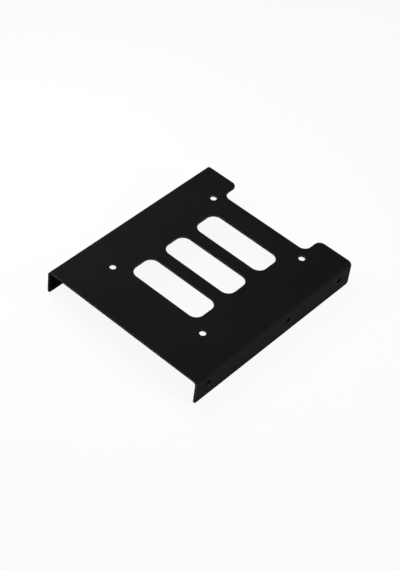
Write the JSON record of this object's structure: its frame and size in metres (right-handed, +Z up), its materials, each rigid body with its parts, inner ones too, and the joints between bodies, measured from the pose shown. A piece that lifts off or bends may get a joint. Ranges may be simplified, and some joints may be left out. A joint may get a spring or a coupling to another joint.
{
  "type": "drive bay adapter bracket",
  "caption": "Folded sheet-steel bracket that holds a 2.5 inch drive in a 3.5 inch bay, with slots in its plate and a notch for the connectors.",
  "frame": {"origin": "centred under the bracket, on the plane of its flanges' lower edges", "axes": "+X across the bay, +Y along the plate towards the connector notch, +Z up through the plate"},
  "size_m": [0.1016, 0.12, 0.0154],
  "materials": {
    "powder_coat": "black powder coat, satin, fine grain"
  },
  "bodies": {
    "root": {"bracket": "powder_coat"}
  },
  "joints": []
}
